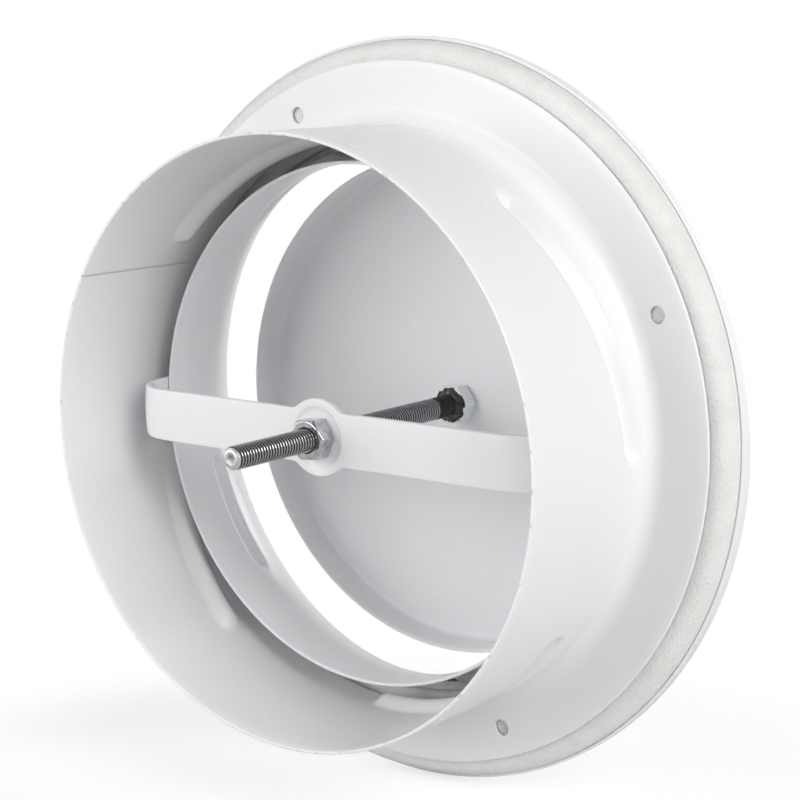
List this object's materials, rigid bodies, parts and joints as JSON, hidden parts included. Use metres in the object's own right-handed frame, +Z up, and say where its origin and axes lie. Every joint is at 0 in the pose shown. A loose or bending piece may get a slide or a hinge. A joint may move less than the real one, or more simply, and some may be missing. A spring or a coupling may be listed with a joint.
{
  "type": "ventilation disc valve",
  "caption": "Round ceiling air valve with mounting collar, foam seal, bell-mouth ring and a disc on a threaded spindle held by a bridge and lock nut, for setting the air flow of a duct",
  "frame": {"origin": "on the common axis, in the plane of the mounting flange's back face, which lies against the ceiling", "axes": "+Z points up into the duct along the common axis, and X runs along the bridge"},
  "size_m": [0.1596, 0.1596, 0.075],
  "materials": {
    "white_paint": "gloss white powder coat on steel sheet",
    "cream_foam": "fine open-cell foam strip, off-white",
    "zinc": "bright zinc-plated steel"
  },
  "bodies": {
    "collar": {"mounting_collar": "white_paint"},
    "seal": {"foam_seal": "cream_foam"},
    "ring": {"valve_ring": "white_paint", "bridge": "white_paint"},
    "spindle": {"spindle": "zinc"},
    "disc": {"disc": "white_paint", "disc_nut": "white_paint"},
    "lock_nut": {"lock_nut": "zinc"}
  },
  "joints": [
    {"name": "valve_draw_out", "type": "slide", "parent": "collar", "child": "seal", "axis": [0, 0, -1], "range_m": [0, 0.028]},
    {"name": "valve_turn", "type": "hinge", "parent": "seal", "child": "ring", "pos_m": [0, 0, 0], "axis": [0, 0, 1], "range_deg": [-45, 45]},
    {"name": "disc_travel", "type": "slide", "parent": "ring", "child": "spindle", "axis": [0, 0, 1], "range_m": [-0.016, 0.0156]},
    {"name": "disc_turn", "type": "hinge", "parent": "spindle", "child": "disc", "pos_m": [0, 0, -0.02], "axis": [0, 0, 1], "range_deg": [-7200, 6840]},
    {"name": "lock_nut_turn", "type": "hinge", "parent": "ring", "child": "lock_nut", "pos_m": [0, 0, 0.03], "axis": [0, 0, 1], "range_deg": [-180, 180]}
  ],
  "couplings": [
    {"joint": "disc_travel", "follows": "disc_turn", "m_per_rad": 0.00012732}
  ]
}
